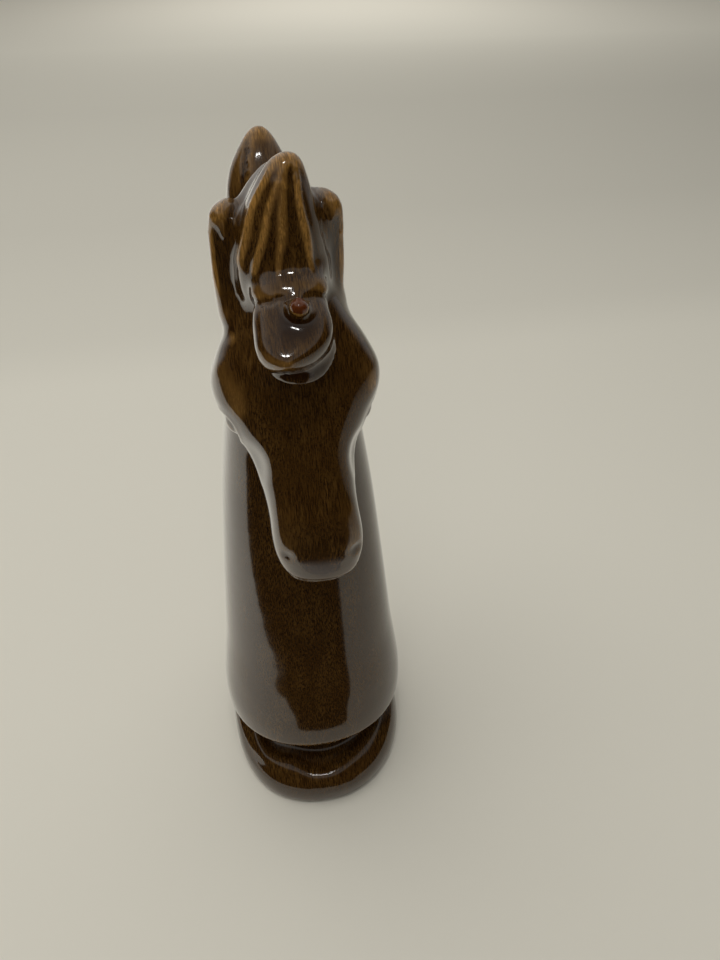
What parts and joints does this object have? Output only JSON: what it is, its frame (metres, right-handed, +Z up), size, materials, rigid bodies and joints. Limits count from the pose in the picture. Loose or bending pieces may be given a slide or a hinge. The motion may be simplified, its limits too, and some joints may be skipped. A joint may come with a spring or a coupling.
{
  "type": "horse head figure",
  "caption": "Tall glazed ceramic horse head on a flared neck and oval foot, with an upright forelock, cupped ears and a mane of pointed locks.",
  "frame": {"origin": "centre of the oval foot's underside", "axes": "+Z up, the horse looks along -Y, +X to a viewer's right when facing it"},
  "size_m": [0.0728, 0.1103, 0.2432],
  "materials": {
    "glaze": "dark brown glaze, glossy, with fine amber flecks that show where it runs thin on edges"
  },
  "bodies": {
    "root": {"horse_head": "glaze"}
  },
  "joints": []
}
